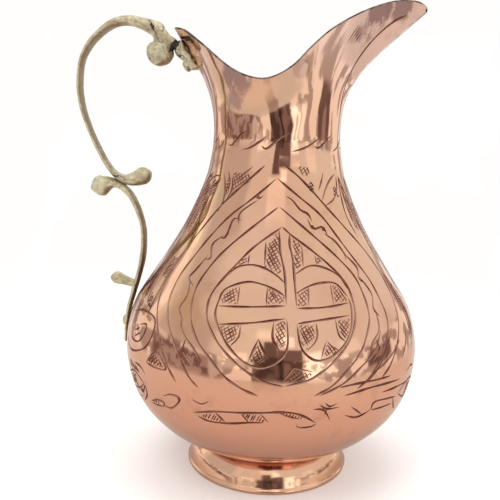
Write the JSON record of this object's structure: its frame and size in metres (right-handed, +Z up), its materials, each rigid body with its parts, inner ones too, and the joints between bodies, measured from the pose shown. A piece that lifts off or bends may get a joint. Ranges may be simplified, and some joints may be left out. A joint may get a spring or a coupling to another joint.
{
  "type": "copper water jug",
  "caption": "Pear-shaped engraved copper jug with an upswept pouring spout, a pointed back lip, a low foot ring and a scrolled cast brass handle.",
  "frame": {"origin": "under the middle of the whole outline, on the plane that the foot rests on; the jug's own axis stands at x = +13.8 mm", "axes": "+Z up, +X towards the spout, -X towards the handle, +Y across the jug"},
  "size_m": [0.1826, 0.1548, 0.2455],
  "materials": {
    "copper": "hand-polished copper sheet, engraved",
    "cast_brass": "pale sand-cast brass, dulled, dark in its crevices",
    "tin": "wiped tin, satin"
  },
  "bodies": {
    "root": {"jug_body": "copper", "foot_ring": "copper", "foot_solder_bead": "tin", "handle_bracket": "cast_brass", "handle_upper_scroll": "cast_brass", "handle_lower_scroll": "cast_brass", "upper_rivet_1": "cast_brass", "upper_rivet_2": "cast_brass", "lower_rivet": "cast_brass"}
  },
  "joints": []
}
